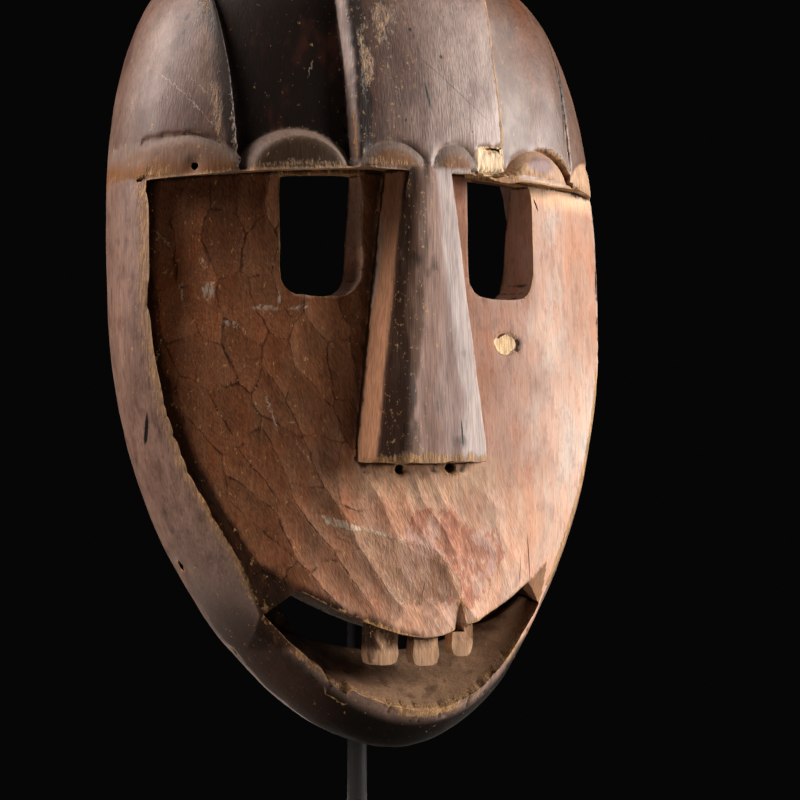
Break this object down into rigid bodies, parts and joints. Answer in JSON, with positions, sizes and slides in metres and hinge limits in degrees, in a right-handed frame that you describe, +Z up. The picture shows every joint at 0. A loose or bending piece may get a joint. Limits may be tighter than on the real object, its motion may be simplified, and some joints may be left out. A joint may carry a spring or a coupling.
{
  "type": "carved wooden face mask on a post stand",
  "caption": "Tall oval wooden face mask, hollow behind, with a sunk face, wedge nose, slot eyes and open toothed mouth, on a thin steel post with a flat foot.",
  "frame": {"origin": "middle of the foot's underside, under the post", "axes": "+Z up along the post; the mask looks along -Y; +X is on the viewer's right"},
  "size_m": [0.216, 0.14, 0.4073],
  "materials": {
    "mask_wood": "carved hardwood, dark patina, worn ochre edges, remains of pale pigment on the face",
    "stand_steel": "satin black paint"
  },
  "bodies": {
    "root": {"mask": "mask_wood", "stand_post": "stand_steel", "stand_base": "stand_steel"}
  },
  "joints": []
}
